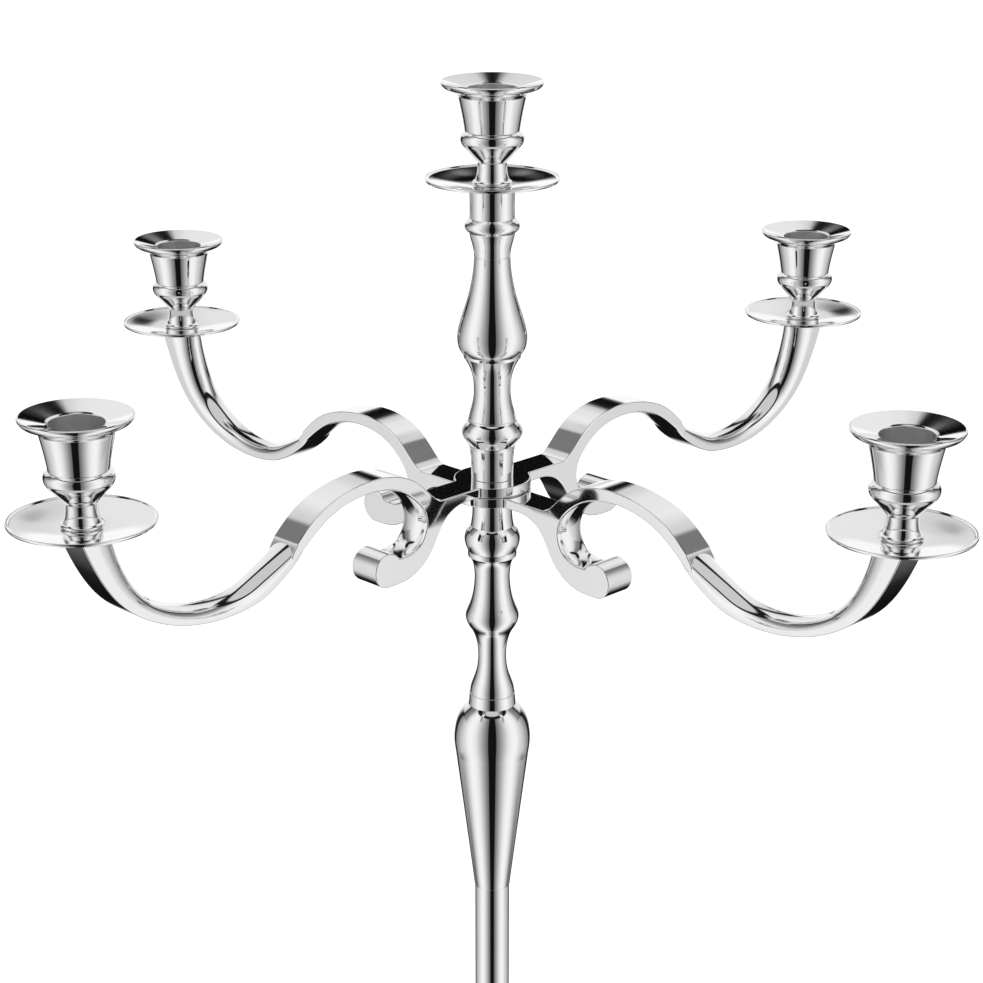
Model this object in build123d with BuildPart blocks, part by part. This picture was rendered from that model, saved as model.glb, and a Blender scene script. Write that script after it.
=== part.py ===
from build123d import *
import math
import os

os.makedirs("parts", exist_ok=True)

# Five-light candelabra. Millimetres, +Z up, origin at the middle of the base on the table.
# The column stands on the Z axis. Two cross bars, each a pair of arms on one flat ring, are
# stacked on the column at right angles and lie along the diagonals of the plan.

# ---- driving dimensions -------------------------------------------------------------------
TOTAL_H = 600.0            # table to the rim of the middle cup
ARM_REACH = 231.3          # column axis to the axis of an outer cup
CUP_H = 46.4               # foot of a cup to its rim
CUP_LIP_R = 23.4
CANDLE_R = 11.4            # socket for a 22 mm dinner candle
SOCKET_DEPTH = 20.0
PLATE_R = 30.5
PLATE_T = 1.4
PLATE_DISH = 3.2           # rim of a drip plate above its middle
BASE_R = 85.0

# Hub: the two rings and what they turn on.
RING_R = 18.0
RING_T = 4.7
RING_GAP = 0.4             # between the rings, filled by a friction washer
FACE_GAP = 0.1             # between a ring and the column piece next to it
HUB_TOP = 414.9            # top face of the upper ring
HUB_PITCH = RING_T + RING_GAP
SLEEVE_R = 7.0
RING_FIT = 0.06            # radial running clearance of a ring on the sleeve

# Arms
BAR_W = 16.0               # width of the flat bar
ROD_W = 15.8               # width of the rounded outer part
ARM_RISE = 37.5            # top of the root to the rim of the drip plate it carries
ROD_TOP = ARM_RISE - PLATE_DISH - PLATE_T

# Tie rod and threads
TIE_R = 3.0
TIE_BORE = 3.2
STUD_R = 2.5
STUD_DEPTH = 12.0          # thread of a cup stud into the arm
STUD_UP = 11.0             # and up into the cup

# ---- heights worked out from the above ---------------------------------------------------
CUP_FOOT_Z = TOTAL_H - CUP_H
COLLAR_TOP = CUP_FOOT_Z - PLATE_T
NECK_BOTTOM = HUB_TOP + FACE_GAP
LOWER_RING_TOP = HUB_TOP - HUB_PITCH
HUB_BOTTOM = LOWER_RING_TOP - RING_T
LOWER_NECK_TOP = HUB_BOTTOM - FACE_GAP
UPPER_BALUSTER_Z = 443.5
COLLAR_Z = 520.4
LOWER_NECK_Z = 378.9
LOWER_BALUSTER_Z = 305.8
STEM_Z = 202.5
POLE_Z = 52.0
POLE_R = 8.4


def half_section(runs, bore):
    """Closed half section: outer runs from the bottom up, then back down the bore."""
    with BuildLine() as section:
        for run in runs:
            if len(run) == 2:
                Line(*run)
            else:
                Spline(*run)
        Polyline(runs[-1][-1], (bore, runs[-1][-1][1]), (bore, runs[0][0][1]), runs[0][0])
    return section.edges()


def finish(piece, label):
    piece.part.label = label
    export_step(piece.part, "parts/" + label + ".step")


# ---- base ----------------------------------------------------------------------------------
# The foot is a solid casting with a shallow recess underneath for the ballast disc.
BASE_EDGE_Z = 1.5          # the felt stands this proud under the casting
RECESS_R = 58.0
BALLAST_R = 57.5
BALLAST_Z = 2.0
BALLAST_T = 10.0
RECESS_Z = BALLAST_Z + BALLAST_T
NUT_WELL_R = 11.0
NUT_WELL_DEPTH = 6.5
with BuildPart() as base_foot:
    with BuildSketch(Plane.XZ):
        with BuildLine():
            Line((RECESS_R, BASE_EDGE_Z), (BASE_R - 1, BASE_EDGE_Z))
            Spline((BASE_R - 1, BASE_EDGE_Z), (BASE_R, 4.5), (BASE_R - 1.5, 8.0), (BASE_R - 5, 9.5))
            Line((BASE_R - 5, 9.5), (BASE_R - 8, 9.9))
            Spline((BASE_R - 8, 9.9), (66.0, 14.6), (48.0, 17.8), (34.0, 21.4), (23.0, 27.0),
                   (16.5, 35.5))
            Line((16.5, 35.5), (18.0, 36.2))
            Spline((18.0, 36.2), (19.2, 38.2), (18.0, 40.2), (14.0, 41.2))
            Spline((14.0, 41.2), (11.8, 44.0), (10.9, POLE_Z))
            Polyline((10.9, POLE_Z), (TIE_BORE, POLE_Z), (TIE_BORE, RECESS_Z), (RECESS_R, RECESS_Z),
                     (RECESS_R, BASE_EDGE_Z))
        make_face()
    revolve(axis=Axis.Z)
finish(base_foot, "base_foot")

# Cast iron disc in the recess. The nut sits in its well and draws it up against the foot.
with BuildPart() as ballast_disc:
    with BuildSketch(Plane.XY.offset(BALLAST_Z)):
        Circle(BALLAST_R)
        Circle(TIE_BORE, mode=Mode.SUBTRACT)
    extrude(amount=BALLAST_T)
    with BuildSketch(Plane.XY.offset(BALLAST_Z)):
        Circle(NUT_WELL_R)
    extrude(amount=NUT_WELL_DEPTH, mode=Mode.SUBTRACT)
finish(ballast_disc, "ballast_disc")

with BuildPart() as base_felt:
    with BuildSketch():
        Circle(BASE_R - 3)
        Circle(NUT_WELL_R, mode=Mode.SUBTRACT)
    extrude(amount=BASE_EDGE_Z)
finish(base_felt, "base_felt")

# Plain washer and hexagon nut that draw the whole stack together.
WASHER_T = 1.2
NUT_T = 4.8
NUT_FLATS = 10.0
NUT_Z = BALLAST_Z + NUT_WELL_DEPTH - WASHER_T
with BuildPart() as base_washer:
    with BuildSketch(Plane.XY.offset(NUT_Z)):
        Circle(8.0)
        Circle(TIE_BORE, mode=Mode.SUBTRACT)
    extrude(amount=WASHER_T)
finish(base_washer, "base_washer")

with BuildPart() as base_nut:
    with BuildSketch(Plane.XY.offset(NUT_Z - NUT_T)):
        RegularPolygon(NUT_FLATS / 2, 6, major_radius=False)
        Circle(TIE_R, mode=Mode.SUBTRACT)
    extrude(amount=NUT_T)
finish(base_nut, "base_nut")

# ---- tie rod -------------------------------------------------------------------------------
# One long rod from the nut in the base up into the foot of the middle cup.
TIE_BOTTOM = 1.8
TIE_TOP = CUP_FOOT_Z + 14.0
with BuildPart() as tie_rod:
    with BuildSketch(Plane.XY.offset(TIE_BOTTOM)):
        Circle(TIE_R)
    extrude(amount=TIE_TOP - TIE_BOTTOM)
    chamfer(tie_rod.edges().filter_by(GeomType.CIRCLE), length=0.5)
finish(tie_rod, "tie_rod")

# ---- column, from the base up --------------------------------------------------------------
with BuildPart() as pole_tube:
    with BuildSketch(Plane.XY.offset(POLE_Z)):
        Circle(POLE_R)
        Circle(POLE_R - 1.5, mode=Mode.SUBTRACT)
    extrude(amount=STEM_Z - POLE_Z)
finish(pole_tube, "pole_tube")

with BuildPart() as taper_stem:
    with BuildSketch(Plane.XZ):
        make_face(half_section([
            [(8.6, STEM_Z), (13.2, 239.6), (17.6, 274.5)],
            [(17.6, 274.5), (18.35, 280.8), (17.95, 287.4), (16.3, 293.5), (13.6, 297.9), (11.3, 300.2)],
            [(11.3, 300.2), (11.0, LOWER_BALUSTER_Z)],
        ], TIE_BORE))
    revolve(axis=Axis.Z)
finish(taper_stem, "taper_stem")

with BuildPart() as lower_baluster:
    with BuildSketch(Plane.XZ):
        make_face(half_section([
            [(10.7, LOWER_BALUSTER_Z), (9.4, 312.1), (7.6, 317.4), (6.75, 324.2), (7.2, 331.0),
             (8.2, 335.1), (9.6, 338.4)],
            [(9.6, 338.4), (12.3, 343.3), (12.7, 345.6), (12.3, 348.0), (10.7, 352.0), (8.7, 360.6),
             (8.37, 365.6), (9.3, 372.8), (10.5, 375.2)],
            [(10.5, 375.2), (11.5, 376.2)],
            [(11.5, 376.2), (11.6, 377.6), (11.5, LOWER_NECK_Z)],
        ], TIE_BORE))
    revolve(axis=Axis.Z)
finish(lower_baluster, "lower_baluster")

with BuildPart() as lower_neck:
    with BuildSketch(Plane.XZ):
        make_face(half_section([
            [(11.5, LOWER_NECK_Z), (12.6, 381.6), (13.15, 384.6), (12.7, 387.6), (10.2, 391.4)],
            [(10.2, 391.4), (9.6, 395.4), (9.5, LOWER_NECK_TOP)],
        ], TIE_BORE))
    revolve(axis=Axis.Z)
finish(lower_neck, "lower_neck")

# Bush that the two rings turn on. It is clamped between the necks.
with BuildPart() as hub_sleeve:
    with BuildSketch(Plane.XY.offset(LOWER_NECK_TOP)):
        Circle(SLEEVE_R)
        Circle(TIE_BORE, mode=Mode.SUBTRACT)
    extrude(amount=NECK_BOTTOM - LOWER_NECK_TOP)
finish(hub_sleeve, "hub_sleeve")

FRICTION_T = 0.3
with BuildPart() as friction_washer:
    with BuildSketch(Plane.XY.offset(LOWER_RING_TOP + (RING_GAP - FRICTION_T) / 2)):
        Circle(RING_R - 1.5)
        Circle(SLEEVE_R, mode=Mode.SUBTRACT)
    extrude(amount=FRICTION_T)
finish(friction_washer, "friction_washer")

with BuildPart() as upper_neck:
    with BuildSketch(Plane.XZ):
        make_face(half_section([
            [(9.7, NECK_BOTTOM), (10.0, 423.0), (10.5, 429.4)],
            [(10.5, 429.4), (10.9, 431.2)],
            [(10.9, 431.2), (14.0, 436.0), (14.3, 437.7), (13.75, 439.4), (11.5, 442.9)],
            [(11.5, 442.9), (11.3, UPPER_BALUSTER_Z)],
        ], TIE_BORE))
    revolve(axis=Axis.Z)
finish(upper_neck, "upper_neck")

with BuildPart() as upper_baluster:
    with BuildSketch(Plane.XZ):
        make_face(half_section([
            [(11.2, UPPER_BALUSTER_Z), (9.1, 452.2), (8.6, 458.4), (9.2, 464.0), (10.8, 469.0),
             (13.3, 473.3)],
            [(13.3, 473.3), (13.55, 474.7)],
            [(13.55, 474.7), (15.1, 476.9), (16.25, 483.4), (15.5, 488.3), (13.6, 494.7),
             (9.6, 509.2), (8.35, COLLAR_Z)],
        ], TIE_BORE))
    revolve(axis=Axis.Z)
finish(upper_baluster, "upper_baluster")

with BuildPart() as upper_collar:
    with BuildSketch(Plane.XZ):
        make_face(half_section([
            [(8.35, COLLAR_Z), (8.7, 523.8), (9.5, 527.0), (10.45, 530.6)],
            [(10.45, 530.6), (10.5, 531.5)],
            [(10.5, 531.5), (11.9, 532.6), (12.7, 534.6), (12.0, 536.7), (10.4, 538.3)],
            [(10.4, 538.3), (10.35, 546.0), (10.6, COLLAR_TOP)],
        ], TIE_BORE))
    revolve(axis=Axis.Z)
finish(upper_collar, "upper_collar")


# ---- cups and drip plates ------------------------------------------------------------------
def place(x, y, z):
    return Plane((x, y, z), x_dir=(1, 0, 0), z_dir=(0, -1, 0))


def drip_plate(label, x, y, foot_z, bore):
    """Spun dish. Its middle is flat for the cup and the arm, and its rim is rounded."""
    flat = 10.0
    with BuildPart() as plate:
        with BuildSketch(place(x, y, foot_z)):
            with BuildLine():
                Line((bore, 0), (flat, 0))
                Spline((flat, 0), (PLATE_R - 0.9, PLATE_DISH - 0.25), tangents=[(1, 0), (1, 0.18)])
                ThreePointArc((PLATE_R - 0.9, PLATE_DISH - 0.25), (PLATE_R - 0.25, PLATE_DISH - 0.2),
                              (PLATE_R, PLATE_DISH - 0.9))
                Line((PLATE_R, PLATE_DISH - 0.9), (PLATE_R - 0.35, PLATE_DISH - PLATE_T - 0.25))
                Spline((PLATE_R - 0.35, PLATE_DISH - PLATE_T - 0.25), (flat, -PLATE_T),
                       tangents=[(-1, -0.18), (-1, 0)])
                Line((flat, -PLATE_T), (bore, -PLATE_T))
                Line((bore, -PLATE_T), (bore, 0))
            make_face()
        revolve(axis=Axis((x, y, 0), (0, 0, 1)))
    finish(plate, label)


def candle_cup(label, x, y, foot_z, thread_r, thread_depth):
    """Turned cup: foot ring, flared neck, cone, bead, tapered body and a thin flared lip."""
    socket_z = CUP_H - 3.4
    with BuildPart() as cup:
        with BuildSketch(place(x, y, foot_z)):
            with BuildLine():
                Line((0, 0), (8.4, 0))
                ThreePointArc((8.4, 0), (9.0, 0.8), (8.4, 1.6))
                Line((8.4, 1.6), (7.9, 1.9))
                Spline((7.9, 1.9), (7.3, 3.2), (6.8, 5.6), (6.7, 10.1))
                Line((6.7, 10.1), (12.4, 16.4))
                Spline((12.4, 16.4), (13.9, 18.3), (14.55, 20.8), (13.9, 22.8), (12.6, 23.9))
                Line((12.6, 23.9), (12.45, 24.1))
                Spline((12.45, 24.1), (13.3, 29.4), (14.15, 33.7), (15.2, 38.6))
                Line((15.2, 38.6), (15.4, 39.7))
                Spline((15.4, 39.7), (18.0, 41.6), (20.4, 42.7), (22.5, 43.9), (23.1, 44.8))
                ThreePointArc((23.1, 44.8), (CUP_LIP_R, 45.6), (22.7, CUP_H))
                Spline((22.7, CUP_H), (19.0, CUP_H - 1.6), (CANDLE_R + 1.2, socket_z + 0.5))
                Line((CANDLE_R + 1.2, socket_z + 0.5), (CANDLE_R, socket_z))
                Line((CANDLE_R, socket_z), (CANDLE_R, CUP_H - SOCKET_DEPTH - 3.4))
                Line((CANDLE_R, CUP_H - SOCKET_DEPTH - 3.4), (0, CUP_H - SOCKET_DEPTH - 3.4))
                Line((0, CUP_H - SOCKET_DEPTH - 3.4), (0, 0))
            make_face()
        revolve(axis=Axis((x, y, 0), (0, 0, 1)))
        with BuildSketch(Plane.XY.offset(foot_z)):
            with Locations((x, y)):
                Circle(thread_r)
        extrude(amount=thread_depth, mode=Mode.SUBTRACT)
    finish(cup, label)


drip_plate("drip_plate_centre", 0, 0, CUP_FOOT_Z, TIE_R)
candle_cup("candle_cup_centre", 0, 0, CUP_FOOT_Z, TIE_R, TIE_TOP - CUP_FOOT_Z)


# ---- cross bars ----------------------------------------------------------------------------
# An arm is drawn along +X with the top of its root at height zero, then turned to its diagonal.
BULB = (73.4, -25.5)
BULB_R = 8.0
# The strap ends in a small rounded lip, and below it in a rounded heel either side of the rod.
LIP_TOP = (126.04, 1.28)
LIP_NOTCH = (126.15, -0.76)
HEEL_TOP = (128.6, -3.03)
HEEL_FOOT = (127.72, -6.3)

# Stations of the rounded rod: foot of the flat side, crest of the round side, half width, and
# the share of the depth that keeps flat sides.
ROD_STATIONS = [
    ((122.0, -4.2), (125.5, -1.0), 6.4, 0.08),
    ((128.6, -9.2), (132.4, -3.9), 6.6, 0.08),
    ((140.6, -16.4), (144.4, -9.0), 7.0, 0.1),
    ((154.6, -21.0), (156.8, -13.6), 7.5, 0.14),
    ((172.0, -21.7), (172.0, -14.5), ROD_W / 2, 0.22),
    ((190.0, -18.6), (187.2, -11.6), ROD_W / 2, 0.3),
    ((207.0, -11.2), (201.6, -4.4), ROD_W / 2, 0.34),
    ((222.0, 1.2), (212.0, 7.6), ROD_W / 2, 0.34),
    ((232.6, 18.4), (217.8, 22.4), ROD_W / 2, 0.34),
    ((238.6, ROD_TOP), (219.6, ROD_TOP), ROD_W / 2, 0.34),
]


def rod_section(foot, crest, half, share):
    """Flat-backed section: straight sides, then half an ellipse up to the crest."""
    rise = (crest[0] - foot[0], crest[1] - foot[1])
    thick = math.hypot(*rise)
    up = (rise[0] / thick, 0, rise[1] / thick)
    along = (up[2], 0, -up[0])
    flat = thick * share
    with BuildSketch(Plane((foot[0], 0, foot[1]), x_dir=(0, 1, 0), z_dir=along)) as section:
        with BuildLine():
            Polyline((-half, flat), (-half, 0), (half, 0), (half, flat))
            EllipticalCenterArc((0, flat), half, thick - flat, arc_size=180)
        make_face()
    return section.sketch


def cross_bar(label, top_z, azimuth, body_studs):
    with BuildPart() as arm:
        with BuildSketch(Plane.XZ) as side:
            with BuildLine():
                Line((0, -RING_T), (0, 0))
                Line((0, 0), (40.0, 0))
                Spline((40.0, 0), (43.4, 1.5), (47.4, 5.0), (56.0, 12.6), (67.0, 17.6),
                       (81.0, 19.4), (98.0, 17.4), (114.0, 11.2), LIP_TOP,
                       tangents=[(1, 0), (1, -0.95)])
                ThreePointArc(LIP_TOP, (126.5, 0.2), LIP_NOTCH)
                Spline(LIP_NOTCH, (126.5, -2.2), HEEL_TOP, tangents=[(-0.5, -1), (1, -0.3)])
                ThreePointArc(HEEL_TOP, (130.0, -4.7), HEEL_FOOT)
                Spline(HEEL_FOOT, (119.0, 0.6), (107.0, 8.6), (95.0, 12.6), (81.0, 13.7),
                       (67.5, 11.0), (56.6, 4.2), (50.2, -4.6), (50.0, -12.4), (55.0, -19.6),
                       (66.6, -21.4))
                ThreePointArc((66.6, -21.4), (BULB[0] + BULB_R, BULB[1]), (BULB[0], BULB[1] - BULB_R))
                Spline((BULB[0], BULB[1] - BULB_R), (61.0, -32.6), (52.5, -28.6), (46.6, -22.9),
                       (42.0, -15.4), (36.4, -8.6), (24.0, -RING_T),
                       tangents=[(-1, 0), (-1, 0.1)])
                Line((24.0, -RING_T), (0, -RING_T))
            make_face()
        extrude(amount=BAR_W / 2, both=True)
        add(loft([rod_section(*station) for station in ROD_STATIONS], mode=Mode.PRIVATE))
        mirror(about=Plane.YZ)
        with BuildSketch(Plane.XY.offset(-RING_T)):
            Circle(RING_R)
        extrude(amount=RING_T)
        with BuildSketch(Plane.XY.offset(-RING_T)):
            Circle(SLEEVE_R + RING_FIT)
        extrude(amount=RING_T, mode=Mode.SUBTRACT)
        with BuildSketch(Plane.XY.offset(ROD_TOP)):
            with Locations((ARM_REACH, 0), (-ARM_REACH, 0)):
                Circle(STUD_R)
        extrude(amount=-STUD_DEPTH, mode=Mode.SUBTRACT)
    arm.part.position = (0, 0, top_z)
    arm.part.orientation = (0, 0, azimuth)
    finish(arm, label)
    foot_z = top_z + ARM_RISE - PLATE_DISH
    with BuildPart() as studs:
        for side in (1, -1):
            x = side * ARM_REACH * math.cos(math.radians(azimuth))
            y = side * ARM_REACH * math.sin(math.radians(azimuth))
            with BuildSketch(Plane.XY.offset(foot_z - PLATE_T - STUD_DEPTH)):
                with Locations((x, y)):
                    Circle(STUD_R)
            extrude(amount=STUD_DEPTH + PLATE_T + STUD_UP)
    finish(studs, body_studs)


BARS = [
    ("upper", HUB_TOP, 45, ("rear_right", "front_left")),
    ("lower", LOWER_RING_TOP, -45, ("front_right", "rear_left")),
]
for level, top_z, azimuth, corners in BARS:
    cross_bar(level + "_cross_arm", top_z, azimuth, level + "_cup_studs")
    for side, corner in zip((1, -1), corners):
        x = side * ARM_REACH * math.cos(math.radians(azimuth))
        y = side * ARM_REACH * math.sin(math.radians(azimuth))
        foot_z = top_z + ARM_RISE - PLATE_DISH
        drip_plate("drip_plate_" + corner, x, y, foot_z, STUD_R)
        candle_cup("candle_cup_" + corner, x, y, foot_z, STUD_R, STUD_UP)
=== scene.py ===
import bpy
import math
import numpy as np
from mathutils import Matrix, Vector


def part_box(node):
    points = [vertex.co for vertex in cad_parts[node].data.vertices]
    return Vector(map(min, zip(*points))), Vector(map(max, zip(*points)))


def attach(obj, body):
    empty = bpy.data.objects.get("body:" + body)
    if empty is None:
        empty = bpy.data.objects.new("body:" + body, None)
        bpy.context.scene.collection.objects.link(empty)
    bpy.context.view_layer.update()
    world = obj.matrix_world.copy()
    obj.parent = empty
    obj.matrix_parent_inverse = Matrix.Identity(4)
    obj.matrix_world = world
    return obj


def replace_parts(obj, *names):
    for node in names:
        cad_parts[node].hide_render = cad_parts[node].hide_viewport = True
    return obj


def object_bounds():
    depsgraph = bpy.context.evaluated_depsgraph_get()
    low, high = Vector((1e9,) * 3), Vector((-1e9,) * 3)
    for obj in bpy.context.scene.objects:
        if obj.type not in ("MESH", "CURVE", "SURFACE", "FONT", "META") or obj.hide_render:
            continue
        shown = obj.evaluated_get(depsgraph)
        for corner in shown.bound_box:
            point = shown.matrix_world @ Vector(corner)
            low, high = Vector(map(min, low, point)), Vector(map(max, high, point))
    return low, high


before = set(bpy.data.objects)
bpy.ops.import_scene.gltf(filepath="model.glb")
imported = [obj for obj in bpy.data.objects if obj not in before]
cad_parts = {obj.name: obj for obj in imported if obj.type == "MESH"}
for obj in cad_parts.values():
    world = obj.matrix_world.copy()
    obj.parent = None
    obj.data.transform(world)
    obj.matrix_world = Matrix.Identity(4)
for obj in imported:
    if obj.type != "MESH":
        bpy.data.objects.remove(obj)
cad_low, cad_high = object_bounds()

MM = 0.001

# Sizes repeated from the CAD model, in millimetres.
CUP_H = 46.4
PLATE_R, PLATE_T, PLATE_DISH = 30.5, 1.4, 3.2
RING_R, RING_T = 18.0, 4.7
RING_BORE = 7.06
TIE_BORE = 3.2
POLE_R, POLE_BORE = 8.4, 6.9
BASE_R = 85.0
BAR_HALF = 8.0
ROD_HALF = 7.9
ARM_RISE = 37.5            # from a ring's top face up to the rims of its drip plates

# Heights at which one piece of the column stands on another, and the two ends next to the hub.
POLE_Z, STEM_Z, LOWER_BALUSTER_Z, LOWER_NECK_Z, LOWER_NECK_TOP = 52.0, 202.5, 305.8, 378.9, 405.0
NECK_BOTTOM, UPPER_BALUSTER_Z, COLLAR_Z, COLLAR_TOP = 415.0, 443.5, 520.4, 552.2

# How outlines are sampled.
SHORT_RUN = 4.0            # a straight run longer than this has points this far apart
ON_TANGENT = math.cos(math.radians(5))
CORNER_SHARE = 0.42        # the most of a run's length that one rounded corner takes
CORNER_CLEAR = 1.02        # points nearer to a corner than this many times its reach are dropped


# ---- curves --------------------------------------------------------------------------------
def spline(points, step, start=None, end=None):
    """A cubic spline through points: sampled points and unit tangents. start and end set its direction."""
    p = np.array(points, float)
    h = np.linalg.norm(np.diff(p, axis=0), axis=1)
    n = len(p)
    a = np.zeros((n, n))
    b = np.zeros((n, 2))
    for i in range(1, n - 1):
        a[i, i - 1], a[i, i], a[i, i + 1] = h[i - 1], 2 * (h[i - 1] + h[i]), h[i]
        b[i] = 6 * ((p[i + 1] - p[i]) / h[i] - (p[i] - p[i - 1]) / h[i - 1])
    a[0, 0] = a[-1, -1] = 1
    if start is not None:
        slope = np.array(start, float) / np.hypot(*start)
        a[0, 0], a[0, 1] = 2 * h[0], h[0]
        b[0] = 6 * ((p[1] - p[0]) / h[0] - slope)
    if end is not None:
        slope = np.array(end, float) / np.hypot(*end)
        a[-1, -2], a[-1, -1] = h[-1], 2 * h[-1]
        b[-1] = 6 * (slope - (p[-1] - p[-2]) / h[-1])
    m = np.linalg.solve(a, b)
    out, tan = [], []
    for i in range(n - 1):
        count = max(2, math.ceil(h[i] / step))
        last = i == n - 2
        for k in range(count + (1 if last else 0)):
            t = h[i] * k / count
            u = h[i] - t
            pos = (m[i] * u**3 + m[i + 1] * t**3) / (6 * h[i])
            pos = pos + (p[i] / h[i] - m[i] * h[i] / 6) * u + (p[i + 1] / h[i] - m[i + 1] * h[i] / 6) * t
            vel = (m[i + 1] * t**2 - m[i] * u**2) / (2 * h[i])
            vel = vel + (p[i + 1] - p[i]) / h[i] - (m[i + 1] - m[i]) * h[i] / 6
            out.append(pos)
            tan.append(vel / np.linalg.norm(vel))
    return out, tan


def straight(points, step):
    """A straight run: sampled points and unit tangents."""
    p, q = np.array(points[0], float), np.array(points[1], float)
    length = np.linalg.norm(q - p)
    count = math.ceil(length / step) if length < SHORT_RUN else max(3, math.ceil(length / SHORT_RUN))
    unit = (q - p) / length
    return [p + (q - p) * k / count for k in range(count + 1)], [unit] * (count + 1)


def arc(centre, radius, a0, a1, step):
    """Arc from a0 to a1 in degrees, either way round."""
    sweep = math.radians(a1 - a0)
    count = max(3, math.ceil(abs(sweep) * radius / step))
    way = 1 if sweep > 0 else -1
    out, tan = [], []
    for k in range(count + 1):
        a = math.radians(a0) + sweep * k / count
        out.append(np.array((centre[0] + radius * math.cos(a), centre[1] + radius * math.sin(a))))
        tan.append(np.array((-math.sin(a), math.cos(a))) * way)
    return out, tan


def sample(run, step):
    """A run is already sampled, a straight of two points, or a spline through more."""
    if isinstance(run, tuple):
        return run
    return straight(run, step) if len(run) == 2 else spline(run, step)


def path(runs, step=0.6, corner=0.25, closed=False, facets=6):
    """Runs joined end to end, with every corner between two of them rounded. Points and tangents."""
    parts = [tuple(map(list, sample(r, step))) for r in runs]
    joints = range(len(parts)) if closed else range(1, len(parts))
    arcs = {}
    for j in joints:
        (pa, ta), (pb, tb) = parts[j - 1], parts[j]
        c, a, b = pa[-1], ta[-1], tb[0]
        if float(np.dot(a, b)) > ON_TANGENT:
            del pa[-1], ta[-1]
            continue
        spans = np.linalg.norm(pa[-1] - pa[0]), np.linalg.norm(pb[-1] - pb[0])
        d = min(corner, CORNER_SHARE * min(spans))
        while len(pa) > 1 and np.linalg.norm(pa[-1] - c) < d * CORNER_CLEAR:
            del pa[-1], ta[-1]
        while len(pb) > 1 and np.linalg.norm(pb[0] - c) < d * CORNER_CLEAR:
            del pb[0], tb[0]
        p0, p2 = c - a * d, c + b * d
        bend = []
        for k in range(facets + 1):
            t = k / facets
            pos = (1 - t) ** 2 * p0 + 2 * t * (1 - t) * c + t * t * p2
            vel = (1 - t) * (c - p0) + t * (p2 - c)
            bend.append((pos, vel / np.linalg.norm(vel)))
        arcs[j] = bend
    out = []
    for j, (p, t) in enumerate(parts):
        out += arcs.get(j, [])
        out += list(zip(p, t))
    return out


# ---- meshes --------------------------------------------------------------------------------
def turn_outward(verts, faces, normals):
    """Turns over every face that looks against its corners' normals."""
    points, aims = np.array(verts, float), np.array(normals, float)
    for size in {len(f) for f in faces}:
        chosen = [i for i, f in enumerate(faces) if len(f) == size]
        corners = np.array([faces[i] for i in chosen])
        ring = points[corners]
        area = np.cross(ring, np.roll(ring, -1, axis=1)).sum(axis=1)
        wrong = (area * aims[corners].sum(axis=1)).sum(axis=1) < 0
        for i, bad in zip(chosen, wrong):
            if bad:
                faces[i] = faces[i][::-1]


def mesh_object(name, verts, faces, normals, at=(0, 0, 0)):
    """A smooth object from points in millimetres, shaded by the normals given. at is in metres."""
    mesh = bpy.data.meshes.new(name)
    turn_outward(verts, faces, normals)
    mesh.from_pydata([Vector(v) * MM for v in verts], [], faces)
    mesh.validate(clean_customdata=False)
    for poly in mesh.polygons:
        poly.use_smooth = True
    mesh.normals_split_custom_set_from_vertices([Vector(n).normalized() for n in normals])
    obj = bpy.data.objects.new(name, mesh)
    obj.location = at
    bpy.context.scene.collection.objects.link(obj)
    return obj


def turned(name, profile, at=(0, 0, 0), around=160):
    """A ring-shaped solid of revolution about Z, from a closed profile of (radius, height) points."""
    verts, normals, faces, rings = [], [], [], []
    for (r, z), (tr, tz) in profile:
        rings.append(list(range(len(verts), len(verts) + around)))
        for k in range(around):
            a = 2 * math.pi * k / around
            c, s = math.cos(a), math.sin(a)
            verts.append((r * c, r * s, z))
            normals.append((tz * c, tz * s, -tr))
    for low, high in zip(rings, rings[1:] + rings[:1]):
        for k in range(around):
            m = (k + 1) % around
            faces.append([low[k], low[m], high[m], high[k]])
    return mesh_object(name, verts, faces, normals, at)


def bored(runs, bore):
    """Closed profile: the outer runs from the bottom up, then down a straight bore."""
    (r0, z0), (r1, z1) = runs[0][0], runs[-1][-1]
    return runs + [[(r1, z1), (bore, z1)], [(bore, z1), (bore, z0)], [(bore, z0), (r0, z0)]]


# ---- materials -----------------------------------------------------------------------------
def grey(v):
    """Linear value of a screen grey from 0 to 255."""
    v /= 255
    return v / 12.92 if v <= 0.04045 else ((v + 0.055) / 1.055) ** 2.4


def node(tree, kind, **inputs):
    """A new node with its inputs set by name."""
    n = tree.nodes.new(kind)
    for key, value in inputs.items():
        n.inputs[key.replace("_", " ")].default_value = value
    return n


def link(tree, a, b):
    tree.links.new(a, b)


def math_node(tree, op, *values):
    """Output of a Math node. Each value is a number or another node's output."""
    n = tree.nodes.new("ShaderNodeMath")
    n.operation = op
    for i, v in enumerate(values):
        if isinstance(v, (int, float)):
            n.inputs[i].default_value = v
        else:
            link(tree, v, n.inputs[i])
    return n.outputs[0]


def ramp(tree, fac, stops):
    """Output of a Color Ramp node. Each stop is a place from 0 to 1 with a grey or a colour."""
    n = tree.nodes.new("ShaderNodeValToRGB")
    elements = n.color_ramp.elements
    while len(elements) < len(stops):
        elements.new(1)
    for e, (pos, value) in zip(elements, stops):
        e.position = pos
        e.color = (value, value, value, 1) if isinstance(value, float) else (*value, 1)
    link(tree, fac, n.inputs[0])
    return n.outputs[0]


CLOUD_DARK = 0.975         # the darker end of the plating's faint cloud
MARK_SHARE = 0.4           # of the gloss, what the polishing marks rule. The cloud rules the rest
MARK_STRETCH = (60, 60, 900)


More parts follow.
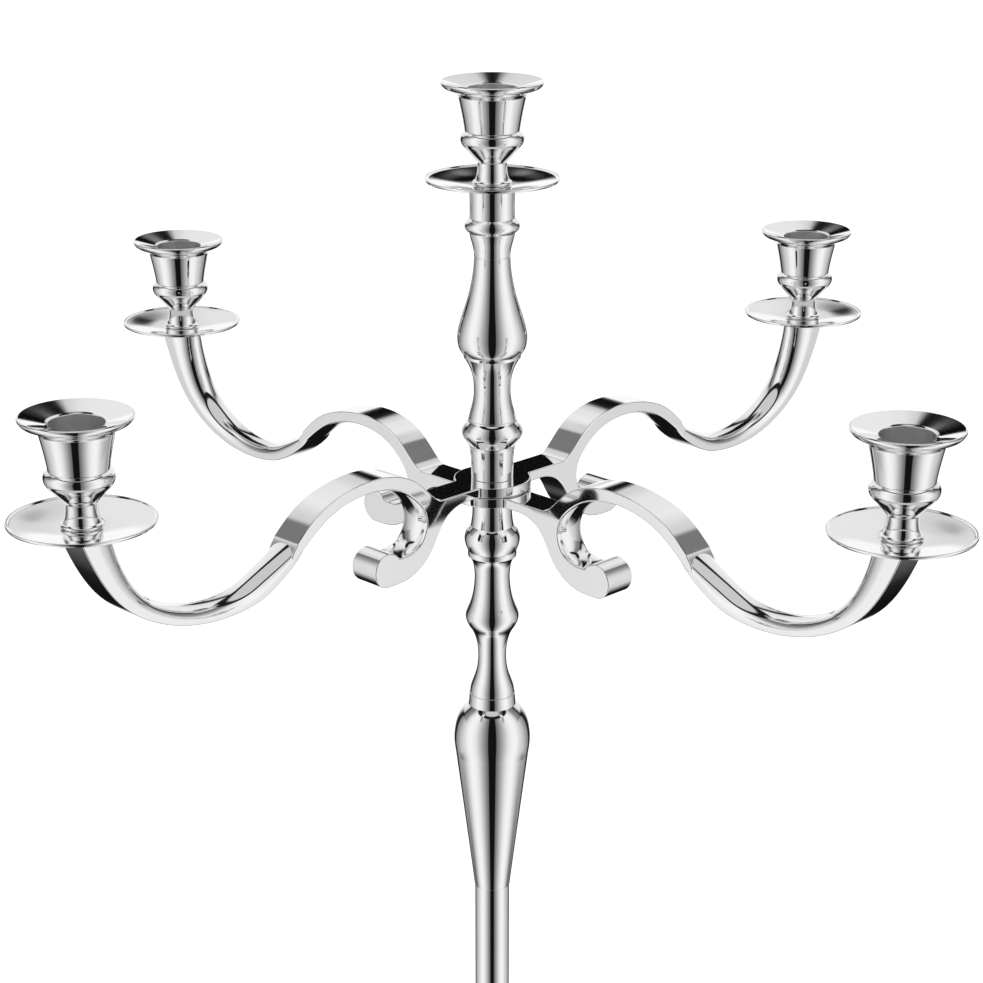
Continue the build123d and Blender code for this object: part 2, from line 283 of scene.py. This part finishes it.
def polished(name, tint, rough, spread, scale, ripple):
    """Bright plating: a faint cloud in colour and gloss, and polishing marks too fine to see far off."""
    mat = bpy.data.materials.new(name)
    mat.use_nodes = True
    tree = mat.node_tree
    bsdf = tree.nodes["Principled BSDF"]
    bsdf.inputs["Metallic"].default_value = 1.0
    coord = tree.nodes.new("ShaderNodeTexCoord")
    cloud = node(tree, "ShaderNodeTexNoise", Scale=scale, Detail=4.0, Roughness=0.55)
    link(tree, coord.outputs["Object"], cloud.inputs["Vector"])
    colour = ramp(tree, cloud.outputs[0], [(0.3, tuple(c * CLOUD_DARK for c in tint)), (0.7, tint)])
    link(tree, colour, bsdf.inputs["Base Color"])
    stretch = tree.nodes.new("ShaderNodeMapping")
    stretch.inputs["Scale"].default_value = MARK_STRETCH
    link(tree, coord.outputs["Object"], stretch.inputs["Vector"])
    marks = node(tree, "ShaderNodeTexNoise", Scale=1.0, Detail=3.0, Roughness=0.6)
    link(tree, stretch.outputs[0], marks.inputs["Vector"])
    mixed = math_node(tree, "ADD", math_node(tree, "MULTIPLY", cloud.outputs[0], 1 - MARK_SHARE),
                      math_node(tree, "MULTIPLY", marks.outputs[0], MARK_SHARE))
    gloss = math_node(tree, "MULTIPLY_ADD", mixed, spread, rough)
    link(tree, gloss, bsdf.inputs["Roughness"])
    bump = node(tree, "ShaderNodeBump", Strength=ripple, Distance=0.0002)
    link(tree, marks.outputs[0], bump.inputs["Height"])
    link(tree, bump.outputs[0], bsdf.inputs["Normal"])
    return mat


def cast_iron():
    """Rough black paint over a grainy casting."""
    mat = bpy.data.materials.new("cast_iron")
    mat.use_nodes = True
    tree = mat.node_tree
    bsdf = tree.nodes["Principled BSDF"]
    bsdf.inputs["Metallic"].default_value = 0.6
    coord = tree.nodes.new("ShaderNodeTexCoord")
    grain = node(tree, "ShaderNodeTexNoise", Scale=260.0, Detail=6.0, Roughness=0.7)
    link(tree, coord.outputs["Object"], grain.inputs["Vector"])
    colour = ramp(tree, grain.outputs[0], [(0.3, (0.03, 0.03, 0.032)), (0.75, (0.11, 0.105, 0.1))])
    link(tree, colour, bsdf.inputs["Base Color"])
    link(tree, ramp(tree, grain.outputs[0], [(0.2, 0.8), (0.8, 0.55)]), bsdf.inputs["Roughness"])
    bump = node(tree, "ShaderNodeBump", Strength=0.5, Distance=0.0005)
    link(tree, grain.outputs[0], bump.inputs["Height"])
    link(tree, bump.outputs[0], bsdf.inputs["Normal"])
    return mat


def felt_black():
    """Black felt, with fibres and a soft sheen."""
    mat = bpy.data.materials.new("felt_black")
    mat.use_nodes = True
    tree = mat.node_tree
    bsdf = tree.nodes["Principled BSDF"]
    bsdf.inputs["Sheen Weight"].default_value = 0.6
    bsdf.inputs["Sheen Roughness"].default_value = 0.6
    bsdf.inputs["Roughness"].default_value = 0.95
    coord = tree.nodes.new("ShaderNodeTexCoord")
    fibre = node(tree, "ShaderNodeTexNoise", Scale=900.0, Detail=6.0, Roughness=0.75, Distortion=1.5)
    link(tree, coord.outputs["Object"], fibre.inputs["Vector"])
    colour = ramp(tree, fibre.outputs[0], [(0.3, (0.012, 0.012, 0.013)), (0.7, (0.05, 0.05, 0.052))])
    link(tree, colour, bsdf.inputs["Base Color"])
    bump = node(tree, "ShaderNodeBump", Strength=0.7, Distance=0.0006)
    link(tree, fibre.outputs[0], bump.inputs["Height"])
    link(tree, bump.outputs[0], bsdf.inputs["Normal"])
    return mat


NICKEL = (0.935, 0.935, 0.94)
plate_nickel = polished("nickel_turned", NICKEL, 0.03, 0.05, 38.0, 0.01)
arm_nickel = polished("nickel_arm", NICKEL, 0.03, 0.05, 24.0, 0.008)
socket_nickel = polished("nickel_socket", NICKEL, 0.34, 0.06, 60.0, 0.05)
steel = polished("zinc_steel", (0.66, 0.67, 0.68), 0.22, 0.2, 120.0, 0.2)
iron = cast_iron()
felt = felt_black()


def dress(obj, material):
    """Gives obj this one material, and gives it back."""
    obj.data.materials.clear()
    obj.data.materials.append(material)
    return obj


# ---- the column ----------------------------------------------------------------------------
# Outer profiles from the bottom up, (radius, height): runs that meet at a crease or a tangent.
COLUMN = {
    "taper_stem": [
        [(8.6, STEM_Z), (13.2, 239.6), (17.6, 274.5)],
        [(17.6, 274.5), (18.35, 280.8), (17.95, 287.4), (16.3, 293.5), (13.6, 297.9), (11.3, 300.2)],
        [(11.3, 300.2), (11.1, 303.0), (11.0, LOWER_BALUSTER_Z)],
    ],
    "lower_baluster": [
        [(10.7, LOWER_BALUSTER_Z), (10.3, 309.2), (9.4, 312.1), (7.6, 317.4), (6.75, 324.2), (7.2, 331.0),
         (8.2, 335.1), (9.6, 338.4), (11.1, 340.7), (12.3, 343.3), (12.7, 345.6), (12.3, 348.0),
         (10.7, 352.0), (9.5, 355.8), (8.7, 360.6), (8.37, 365.6), (8.7, 370.0), (9.3, 372.8),
         (10.5, 375.2)],
        [(10.5, 375.2), (11.5, 376.2)],
        [(11.5, 376.2), (11.6, 377.6), (11.5, LOWER_NECK_Z)],
    ],
    "lower_neck": [
        [(11.5, LOWER_NECK_Z), (12.6, 381.6), (13.15, 384.6), (12.7, 387.6), (11.4, 390.0), (10.2, 391.4)],
        [(10.2, 391.4), (9.6, 395.4), (9.5, LOWER_NECK_TOP)],
    ],
    "upper_neck": [
        [(9.7, NECK_BOTTOM), (10.0, 423.0), (10.5, 429.4)],
        [(10.5, 429.4), (10.9, 431.2)],
        [(10.9, 431.2), (12.8, 433.8), (14.0, 436.0), (14.3, 437.7), (13.75, 439.4), (12.7, 441.4),
         (11.5, 442.9)],
        [(11.5, 442.9), (11.3, UPPER_BALUSTER_Z)],
    ],
    "upper_baluster": [
        [(11.2, UPPER_BALUSTER_Z), (10.2, 447.9), (9.1, 452.2), (8.6, 458.4), (9.2, 464.0), (10.8, 469.0),
         (13.3, 473.3)],
        [(13.3, 473.3), (13.55, 474.7)],
        [(13.55, 474.7), (15.1, 476.9), (16.1, 480.4), (16.25, 483.4), (15.5, 488.3), (13.6, 494.7),
         (11.4, 501.6), (9.6, 509.2), (8.6, 516.3), (8.35, COLLAR_Z)],
    ],
    "upper_collar": [
        [(8.35, COLLAR_Z), (8.7, 523.8), (9.5, 527.0), (10.45, 530.6)],
        [(10.45, 530.6), (10.5, 531.5)],
        [(10.5, 531.5), (11.9, 532.6), (12.7, 534.6), (12.0, 536.7), (10.4, 538.3)],
        [(10.4, 538.3), (10.35, 546.0), (10.6, COLLAR_TOP)],
    ],
    "pole_tube": [[(POLE_R, POLE_Z), (POLE_R, STEM_Z)]],
}
for name, runs in COLUMN.items():
    bore = POLE_BORE if name == "pole_tube" else TIE_BORE
    piece = turned(name + "_turned", path(bored(runs, bore), corner=0.22, closed=True))
    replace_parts(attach(dress(piece, plate_nickel), "column"), name)

RECESS_R, RECESS_Z = 58.0, 12.0      # the hollow under the foot, for ballast and nut
FELT_TOP = 1.5
FOOT = [
    [(RECESS_R, FELT_TOP), (BASE_R - 1, FELT_TOP)],
    [(BASE_R - 1, FELT_TOP), (BASE_R, 4.5), (83.5, 8.0), (80.0, 9.5)],
    [(80.0, 9.5), (77.0, 9.9)],
    [(77.0, 9.9), (66.0, 14.6), (48.0, 17.8), (34.0, 21.4), (23.0, 27.0), (16.5, 35.5)],
    [(16.5, 35.5), (18.0, 36.2)],
    [(18.0, 36.2), (19.2, 38.2), (18.0, 40.2), (14.0, 41.2)],
    [(14.0, 41.2), (11.8, 44.0), (10.9, POLE_Z)],
    [(10.9, POLE_Z), (TIE_BORE, POLE_Z)],
    [(TIE_BORE, POLE_Z), (TIE_BORE, RECESS_Z)],
    [(TIE_BORE, RECESS_Z), (RECESS_R, RECESS_Z)],
    [(RECESS_R, RECESS_Z), (RECESS_R, FELT_TOP)],
]
foot = turned("base_foot_turned", path(FOOT, corner=0.3, closed=True), around=256)
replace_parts(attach(dress(foot, plate_nickel), "column"), "base_foot")

# ---- cups and drip plates ------------------------------------------------------------------
SOCKET_R = 11.4
SOCKET_Z, SOCKET_FLOOR = CUP_H - 3.4, 23.0
STUD_BORE = 3.0
CUP = [
    [(STUD_BORE, 0), (8.4, 0)],
    [(8.4, 0), (9.0, 0.8), (8.4, 1.6)],
    [(8.4, 1.6), (7.9, 1.9)],
    [(7.9, 1.9), (7.3, 3.2), (6.8, 5.6), (6.7, 10.1)],
    [(6.7, 10.1), (12.4, 16.4)],
    [(12.4, 16.4), (13.9, 18.3), (14.55, 20.8), (13.9, 22.8), (12.6, 23.9)],
    [(12.6, 23.9), (12.45, 24.1)],
    [(12.45, 24.1), (13.3, 29.4), (14.15, 33.7), (15.2, 38.6)],
    [(15.2, 38.6), (15.4, 39.7)],
    [(15.4, 39.7), (18.0, 41.6), (20.4, 42.7), (22.5, 43.9), (23.1, 44.8)],
    [(23.1, 44.8), (23.4, 45.6), (22.7, CUP_H)],
    [(22.7, CUP_H), (12.6, SOCKET_Z + 0.5)],
    [(12.6, SOCKET_Z + 0.5), (SOCKET_R, SOCKET_Z)],
    [(SOCKET_R, SOCKET_Z), (SOCKET_R, SOCKET_FLOOR)],
    [(SOCKET_R, SOCKET_FLOOR), (STUD_BORE, SOCKET_FLOOR)],
    [(STUD_BORE, SOCKET_FLOOR), (STUD_BORE, 0)],
]
# A drip plate is a shallow dish with a turned-up lip. Its height 0 is the face the cup stands on.
PLATE_LIP = [(PLATE_R - 0.9, PLATE_DISH - 0.25), (PLATE_R, PLATE_DISH - 0.9)]
PLATE_HEEL = (PLATE_R - 0.35, PLATE_DISH - PLATE_T - 0.25)
PLATE = [
    [(STUD_BORE, 0), (STUD_BORE, -PLATE_T)],
    [(STUD_BORE, -PLATE_T), (10.0, -PLATE_T)],
    spline([(10.0, -PLATE_T), PLATE_HEEL], 0.6, (1, 0), (1, 0.18)),
    [PLATE_HEEL, PLATE_LIP[1]],
    [PLATE_LIP[1], (PLATE_R - 0.25, PLATE_DISH - 0.2), PLATE_LIP[0]],
    spline([PLATE_LIP[0], (PLATE_R - 1.9, 2.3)], 0.3, (-1, -0.75), (-1, -0.13)),
    spline([(PLATE_R - 1.9, 2.3), (9.0, 0)], 0.6, (-1, -0.13), (-1, 0)),
    [(9.0, 0), (STUD_BORE, 0)],
]
CORNERS = {
    "centre": "column",
    "rear_right": "upper_arms",
    "front_left": "upper_arms",
    "front_right": "lower_arms",
    "rear_left": "lower_arms",
}
for corner, body in CORNERS.items():
    low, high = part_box("candle_cup_" + corner)
    at = ((low[0] + high[0]) / 2, (low[1] + high[1]) / 2, low[2])
    cup = turned("candle_cup_" + corner + "_turned", path(CUP, corner=0.25, closed=True), at)
    dress(cup, plate_nickel).data.materials.append(socket_nickel)
    for poly in cup.data.polygons:
        x, y, z = poly.center
        if math.hypot(x, y) < (SOCKET_R + 0.05) * MM and z > (SOCKET_FLOOR - 0.1) * MM:
            poly.material_index = 1
    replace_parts(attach(cup, body), "candle_cup_" + corner)
    dish = turned("drip_plate_" + corner + "_spun", path(PLATE, corner=0.15, closed=True), at, around=192)
    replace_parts(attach(dress(dish, plate_nickel), body), "drip_plate_" + corner)

# ---- cross bars ----------------------------------------------------------------------------
HUB_END = 24.0             # where the ring's plate ends and the drawn-out strap begins
EDGE = 0.6                 # radius of a bar's long edges
EDGE_ROWS = 4
FACE = BAR_HALF - EDGE
FACE_ROWS = [FACE * (k / 8 - 1) for k in range(1, 16)]
CROWN = 1.5                # how far the inside of arch and scroll swells at mid width
CROWN_EASE = 9.0           # the length over which that swelling sets in and fades out
GAP_ENDS = [(127.2, -6.3), (66.6, -21.4)]      # where the inside of arch and scroll starts and ends
# One arm seen from the side, (reach, height over the ring's top face), clockwise from the ring.
SIDE = [
    [(HUB_END, 0), (40.0, 0)],
    spline([(40.0, 0), (43.4, 1.5), (47.4, 5.0), (56.0, 12.6), (67.0, 17.6), (81.0, 19.4),
            (98.0, 17.4), (114.0, 11.2), (126.0, 1.3)], 0.5, (1, 0), (1, -0.95)),
    arc((125.0, 0.2), 1.5, 46, 20, 0.3),
    spline([(126.41, 0.71), (129.44, -4.26)], 0.4, (0.34, -0.94), (0.26, -0.97)),
    arc((127.8, -4.7), 1.7, 15, -110, 0.3),
    spline([(127.22, -6.3), (119.0, 0.6), (107.0, 8.6), (95.0, 12.6), (81.0, 13.7), (67.5, 11.0),
            (56.6, 4.2), (50.2, -4.6), (50.0, -12.4), (55.0, -19.6), (66.6, -21.4)], 0.5),
    arc((73.4, -25.5), 8.0, 149, -90, 0.5),
    spline([(73.4, -33.5), (61.0, -32.6), (52.5, -28.6), (46.6, -22.9), (42.0, -15.4),
            (36.4, -8.6), (HUB_END, -RING_T)], 0.5, (-1, 0), (-1, 0)),
]
# Half of the ring's plate from above: in along one side of the bar, round, and out again.
PROUD = math.sqrt(RING_R**2 - BAR_HALF**2)
RING_START = math.degrees(math.asin(BAR_HALF / RING_R))
PLAN = [
    [(HUB_END, BAR_HALF), (PROUD, BAR_HALF)],
    arc((0, 0), RING_R, RING_START, 180 - RING_START, 0.4),
    [(-PROUD, BAR_HALF), (-HUB_END, BAR_HALF)],
]
ROD_STEPS = 150            # sections along the rod
ROD_EDGE = 0.6             # radius of its two lower edges
CREST_STEPS = 48           # points over its rounded top
LEAST_SIDE = 0.1           # flat side that is always left above those edges
# Stations of the rounded rod: foot, crest, and the share of its depth with flat sides.
ROD = [
    ((122.5, -1.8), (125.3, 0.6), 0.5),
    ((127.4, -7.6), (131.2, -2.6), 0.45),
    ((140.6, -16.4), (144.4, -9.0), 0.34),
    ((154.6, -21.0), (156.8, -13.6), 0.25),
    ((172.0, -21.7), (172.0, -14.5), 0.22),
    ((190.0, -18.6), (187.2, -11.6), 0.3),
    ((207.0, -11.2), (201.6, -4.4), 0.34),
    ((222.0, 1.2), (212.0, 7.6), 0.34),
    ((232.6, 18.4), (217.8, 22.4), 0.34),
    ((238.6, 32.9), (219.6, 32.9), 0.34),
]


class Shell:
    """A mesh in the making: vertices with a normal each, and faces."""

    def __init__(self):
        self.verts, self.normals, self.faces = [], [], []

    def add(self, position, normal):
        self.verts.append(tuple(position))
        self.normals.append(tuple(normal))
        return len(self.verts) - 1

    def strip(self, a, b):
        for i in range(len(a) - 1):
            self.faces.append([a[i], a[i + 1], b[i + 1], b[i]])


def edge_rows():
    """(cosine, sine) of each row of the rounded edge, from the broad face round to the side."""
    for k in range(EDGE_ROWS + 1):
        a = math.pi / 2 * k / EDGE_ROWS
        yield math.cos(a), math.sin(a)


def crown_along(outline):
    """Height of the crown at each outline point: only the inside of the arch and scroll has one."""
    points = np.array([p for p, _ in outline])
    first, last = (int(np.argmin(np.hypot(*(points - end).T))) for end in GAP_ENDS)
    run = np.concatenate([[0], np.cumsum(np.hypot(*np.diff(points, axis=0).T))])
    near = np.clip(np.minimum(run - run[first], run[last] - run) / CROWN_EASE, 0, 1)
    return CROWN * near * near * (3 - 2 * near)


def arm_shell(shell, sign):
    """One arm's strap and scroll: its side outline drawn out across the bar."""
    outline = path(SIDE, step=0.5, corner=0.5)
    crown = crown_along(outline)
    rows = {}
    for side in (-1, 1):
        for k, (c, s) in enumerate(edge_rows()):
            row = []
            for (x, z), (tx, tz) in outline:
                # the outline runs clockwise, so the outward normal is to its left
                nx, nz = -tz, tx
                inset = EDGE * (1 - c)
                row.append(shell.add(
                    (sign * (x - nx * inset), sign * side * (BAR_HALF - EDGE * (1 - s)), z - nz * inset),
                    (sign * nx * c, sign * side * s, nz * c)))
            rows[side, k] = row
    for side in (-1, 1):
        for k in range(EDGE_ROWS):
            shell.strip(rows[side, k], rows[side, k + 1])
        shell.faces.append(list(rows[side, EDGE_ROWS]))
    across = [rows[-1, 0]]
    for y in FACE_ROWS:
        row = []
        for ((x, z), (tx, tz)), h in zip(outline, crown):
            rise, lean = h * (1 - (y / FACE) ** 2), 2 * h * y / FACE**2
            row.append(shell.add((sign * (x - tz * rise), sign * y, z + tx * rise),
                                 (-sign * tz, sign * lean, tx)))
        across.append(row)
    across.append(rows[1, 0])
    for a, b in zip(across, across[1:]):
        shell.strip(a, b)


def hub_shell(shell):
    """The flat ring and the first length of both arms, as one plate with a bore."""
    outline = path(PLAN, step=0.4, corner=1.2)
    tops, foots = [], []
    for turn in (1, -1):
        rows = {}
        for face in (1, -1):
            for k, (c, s) in enumerate(edge_rows()):
                row = []
                for (x, y), (tx, ty) in outline:
                    nx, ny = ty, -tx
                    inset = EDGE * (1 - s)
                    z = -EDGE * (1 - c) if face == 1 else -RING_T + EDGE * (1 - c)
                    row.append(shell.add((turn * (x - nx * inset), turn * (y - ny * inset), z),
                                         (turn * nx * s, turn * ny * s, face * c)))
                rows[face, k] = row
        for face in (1, -1):
            for k in range(EDGE_ROWS):
                a, b = rows[face, k], rows[face, k + 1]
                shell.strip(*((a, b) if face == -1 else (b, a)))
        shell.strip(rows[1, EDGE_ROWS], rows[-1, EDGE_ROWS])
        tops.append(rows[1, 0])
        foots.append(rows[-1, 0])
    for face, halves, z in ((1, tops, 0.0), (-1, foots, -RING_T)):
        ends = [[shell.add((turn * HUB_END, turn * y, z), (0, 0, face)) for y in FACE_ROWS]
                for turn in (1, -1)]
        rim = halves[0] + ends[1] + halves[1] + ends[0]
        inner, wall = [], []
        for v in rim:
            x, y, _ = shell.verts[v]
            d = math.hypot(x, y)
            inner.append(shell.add((x / d * RING_BORE, y / d * RING_BORE, z), (0, 0, face)))
            wall.append(shell.add((x / d * RING_BORE, y / d * RING_BORE, z), (-x / d, -y / d, 0)))
        n = len(rim)
        for i in range(n):
            j = (i + 1) % n
            quad = [rim[i], rim[j], inner[j], inner[i]]
            shell.faces.append(quad if face == 1 else quad[::-1])
        if face == 1:
            top_wall = wall
        else:
            for i in range(n):
                j = (i + 1) % n
                shell.faces.append([top_wall[j], top_wall[i], wall[i], wall[j]])


def rod_shell(shell, sign):
    """The rounded outer part of an arm, lofted through its stations."""
    rings = []
    feet, crests, shares = (station_curve(values) for values in zip(*ROD))
    for (fx, fz), (cx, cz), share in zip(feet, crests, shares):
        ux, uz = cx - fx, cz - fz
        thick = math.hypot(ux, uz)
        ux, uz = ux / thick, uz / thick
        section = rod_section(thick, max(thick * share, ROD_EDGE + LEAST_SIDE))
        ring = []
        for (y, h), (ny, nh) in section:
            ring.append(shell.add((sign * (fx + ux * h), sign * y, fz + uz * h),
                                  (sign * ux * nh, sign * ny, uz * nh)))
        rings.append(ring)
    for a, b in zip(rings, rings[1:]):
        n = len(a)
        for i in range(n):
            j = (i + 1) % n
            shell.faces.append([a[i], a[j], b[j], b[i]])
    shell.faces.append(rings[0][::-1])
    shell.faces.append(rings[-1])
    return rings


def station_curve(values):
    """Smooth run of points or numbers through the stations, in even steps from each to the next."""
    p = np.array(values, float)
    n = len(p)
    a = np.zeros((n, n))
    b = np.zeros_like(p)
    a[0, 0] = a[-1, -1] = 1
    for i in range(1, n - 1):
        a[i, i - 1], a[i, i], a[i, i + 1] = 1, 4, 1
        b[i] = 6 * (p[i + 1] - 2 * p[i] + p[i - 1])
    m = np.linalg.solve(a, b)
    out = []
    for k in range(ROD_STEPS + 1):
        t = (n - 1) * k / ROD_STEPS
        i = min(int(t), n - 2)
        t -= i
        u = 1 - t
        out.append(m[i] * (u**3 - u) / 6 + m[i + 1] * (t**3 - t) / 6 + p[i] * u + p[i + 1] * t)
    return out


def rod_section(thick, flat):
    """Section of the rod as (across, up) with normals, anticlockwise from the left of the flat back."""
    half, ease, lift = ROD_HALF, ROD_EDGE, thick - flat
    quarter = [(math.cos(math.pi / 2 * k / 4), math.sin(math.pi / 2 * k / 4)) for k in range(5)]
    out = []
    for k in range(4):
        out.append(((-half, flat + (ease - flat) * k / 4), (-1, 0)))
    for c, s in quarter:
        out.append(((-half + ease * (1 - c), ease * (1 - s)), (-c, -s)))
    for k in range(1, 12):
        out.append(((-half + ease + (half - ease) * 2 * k / 12, 0), (0, -1)))
    for c, s in quarter:
        out.append(((half - ease * (1 - s), ease * (1 - c)), (s, -c)))
    for k in range(1, 4):
        out.append(((half, ease + (flat - ease) * k / 4), (1, 0)))
    for k in range(CREST_STEPS):
        a = math.pi * k / CREST_STEPS
        ny, nh = math.cos(a) / half, math.sin(a) / lift
        d = math.hypot(ny, nh)
        out.append(((half * math.cos(a), flat + lift * math.sin(a)), (ny / d, nh / d)))
    return out


def fix_loft_normals(shell, rings):
    """Tilts each vertex normal to stay square to the rod where its sections change."""
    for j, ring in enumerate(rings):
        a, b = rings[max(j - 1, 0)], rings[min(j + 1, len(rings) - 1)]
        n = len(ring)
        for i, v in enumerate(ring):
            run = Vector(shell.verts[b[i]]) - Vector(shell.verts[a[i]])
            normal = Vector(shell.normals[v])
            run.normalize()
            shell.normals[v] = tuple((normal - run * normal.dot(run)).normalized())


def weld(shell):
    """Joins the arms to the ring where they meet, at HUB_END."""
    first, same = {}, list(range(len(shell.verts)))
    for i, (x, y, z) in enumerate(shell.verts):
        if abs(abs(x) - HUB_END) < 1e-3:
            same[i] = first.setdefault((round(x), round(y, 2), round(z, 2)), i)
    shell.faces = [[same[v] for v in face] for face in shell.faces]


BARS = {"upper": (45, "upper_arms"), "lower": (-45, "lower_arms")}
for level, (azimuth, body) in BARS.items():
    shell = Shell()
    hub_shell(shell)
    for sign in (1, -1):
        arm_shell(shell, sign)
        fix_loft_normals(shell, rod_shell(shell, sign))
    weld(shell)
    name = level + "_cross_arm"
    plate_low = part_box("drip_plate_" + ("front_left" if level == "upper" else "front_right"))[0][2]
    bar = mesh_object(name + "_forged", shell.verts, shell.faces, shell.normals)
    bar.data.transform(Matrix.Rotation(math.radians(azimuth), 4, "Z"))
    bar.location = (0, 0, plate_low + (PLATE_T + PLATE_DISH - ARM_RISE) * MM)
    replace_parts(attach(dress(bar, arm_nickel), body), name)

# ---- CAD pieces that stay ------------------------------------------------------------------
for name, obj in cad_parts.items():
    if obj.hide_render:
        continue
    material = {"base_felt": felt, "ballast_disc": iron}.get(name, steel)
    for s in obj.material_slots:
        s.material = material
    if not obj.material_slots:
        obj.data.materials.append(material)

# ---- studio --------------------------------------------------------------------------------
# The world is plain white light, but what shines mirrors a dark card, softboxes and flags instead.
# They are set out by direction: degrees round from the front, and height from -1 (down) to 1 (up).
POLISH = 0.93              # how much light the plating mirrors
PLAIN_LIGHT = 1.35
world = bpy.data.worlds.new("studio")
bpy.context.scene.world = world
world.use_nodes = True
world.cycles.sampling_method = "NONE"      # as a lamp it would be only one of its two looks
tree = world.node_tree
tree.nodes.clear()
coord = tree.nodes.new("ShaderNodeTexCoord")
split = tree.nodes.new("ShaderNodeSeparateXYZ")
link(tree, coord.outputs["Generated"], split.inputs[0])
east = math_node(tree, "ABSOLUTE", split.outputs[0])
front = math_node(tree, "MULTIPLY", split.outputs[1], -1.0)
height = split.outputs[2]
turn = math_node(tree, "DIVIDE", math_node(tree, "ARCTAN2", east, front), math.pi)


def sky(stops):
    """The ring of stops all round at one height, the same on the left and the right."""
    return ramp(tree, turn, [(a / 180, grey(v) / POLISH) for a, v in stops])


def between(low, high):
    """0 below one height, 1 above the other, and smooth from one to the other."""
    n = node(tree, "ShaderNodeMapRange")
    n.interpolation_type = "SMOOTHSTEP"
    n.inputs["From Min"].default_value = low
    n.inputs["From Max"].default_value = high
    link(tree, height, n.inputs["Value"])
    return n.outputs[0]


def blend(fac, a, b):
    """a where fac is 0, b where it is 1."""
    n = tree.nodes.new("ShaderNodeMix")
    n.data_type = "RGBA"
    link(tree, fac, n.inputs[0])
    link(tree, a, n.inputs[6])
    link(tree, b, n.inputs[7])
    return n.outputs[2]


def plain_grey(v):
    """The same screen grey all round."""
    n = tree.nodes.new("ShaderNodeRGB")
    n.outputs[0].default_value = (grey(v) / POLISH,) * 3 + (1,)
    return n.outputs[0]


# The lower the direction, the further back the flags behind the sides move, up to a limit.
LEAN_SLOPE, LEAN_LEVEL, LEAN_MOST = -0.5, 0.29, 0.62
SIDEWAYS = 0.5             # a quarter turn from the front, as a share of half a turn
lean = math_node(tree, "MULTIPLY_ADD", height, LEAN_SLOPE, LEAN_LEVEL)
lean = math_node(tree, "MINIMUM", lean, LEAN_MOST)
lean = math_node(tree, "MULTIPLY", lean, math_node(tree, "SUBTRACT", 1.0, between(0.1, 0.22)))
past = math_node(tree, "MAXIMUM", math_node(tree, "SUBTRACT", turn, SIDEWAYS), 0.0)
turn = math_node(tree, "SUBTRACT", turn, math_node(tree, "MULTIPLY", past, lean))

# Stops are (degrees round from the front, screen grey that the plating shows). NEAR is the dark card
# and a softbox to each side. LEVEL adds the dark flags and a white back, BACK a dark slit in that
# back, and WEDGE a slit with soft edges. FLAG has the flags as seen higher up, and HIGH has none.
# BELOW is the floor: dark from the flags on.
NEAR = [(0, 18), (11.5, 19), (13.5, 105), (20, 127), (30, 167), (40, 200), (50, 228), (62, 242),
        (72, 245), (82, 236), (90, 219)]
LEVEL = NEAR + [(100, 193), (108, 156), (114, 135), (117.5, 28), (124, 22), (128, 150), (132, 215),
                (138, 244), (180, 254)]
BACK = [(142, 228), (150, 235), (168, 228), (175, 214), (176.5, 65), (177.2, 16), (180, 14)]
WEDGE = [(142, 228), (150, 235), (168, 228), (174.5, 205), (178, 45), (180, 20)]
FLAG = NEAR + [(98, 165), (104, 135), (112, 118), (117, 118), (119.5, 45), (124, 40), (127, 150), (132, 215)]
HIGH = NEAR + [(98, 165), (104, 135), (112, 118), (118, 118), (121, 205), (130, 215)] + WEDGE
BELOW = NEAR + [(96, 180), (101, 110), (107, 30), (112, 18), (180, 18)]
FRAME_BAR, CEILING = 25, 200

# Each look takes over from the one below it between its two heights.
LOOKS = [
    (0.14, 0.26, sky(FLAG + BACK)),
    (0.36, 0.44, sky(FLAG + WEDGE)),
    (0.55, 0.62, sky(HIGH)),
    (0.755, 0.79, plain_grey(FRAME_BAR)),
    (0.855, 0.89, plain_grey(CEILING)),
]
studio = blend(between(-0.59, -0.51), sky(BELOW), sky(LEVEL))
for low, high, look in LOOKS:
    studio = blend(between(low, high), studio, look)
seen = tree.nodes.new("ShaderNodeBackground")
link(tree, studio, seen.inputs[0])
plain = node(tree, "ShaderNodeBackground", Color=(1, 1, 1, 1), Strength=PLAIN_LIGHT)
ray = tree.nodes.new("ShaderNodeLightPath")
choose = tree.nodes.new("ShaderNodeMixShader")
link(tree, ray.outputs["Is Glossy Ray"], choose.inputs[0])
link(tree, plain.outputs[0], choose.inputs[1])
link(tree, seen.outputs[0], choose.inputs[2])
out = tree.nodes.new("ShaderNodeOutputWorld")
link(tree, choose.outputs[0], out.inputs[0])

# ---- floor ---------------------------------------------------------------------------------
FLOOR_WIDTH = 60           # metres
FLOOR_WHITE = 0.93
bpy.ops.mesh.primitive_plane_add(size=FLOOR_WIDTH, location=(0, 0, cad_low[2]))
floor = bpy.context.object
floor.name = "floor"
floor.visible_glossy = False
paper = bpy.data.materials.new("floor_paper")
paper.use_nodes = True
bsdf = paper.node_tree.nodes["Principled BSDF"]
bsdf.inputs["Base Color"].default_value = (FLOOR_WHITE, FLOOR_WHITE, FLOOR_WHITE, 1)
bsdf.inputs["Roughness"].default_value = 0.9
floor.data.materials.append(paper)

# ---- camera --------------------------------------------------------------------------------
CAMERA_AT = (-0.00033, -1.07272, 0.77493)
CAMERA_DROP = 0.33         # how far it looks down, in radians
LENS = 88.65
cam = bpy.data.objects.new("camera", bpy.data.cameras.new("camera"))
bpy.context.scene.collection.objects.link(cam)
cam.data.sensor_width = 36.0
cam.data.lens = LENS
cam.data.clip_end = 100
cam.location = CAMERA_AT
cam.rotation_euler = (math.pi / 2 - CAMERA_DROP, 0, 0)
bpy.context.scene.camera = cam
bpy.context.scene.view_settings.view_transform = "Standard"
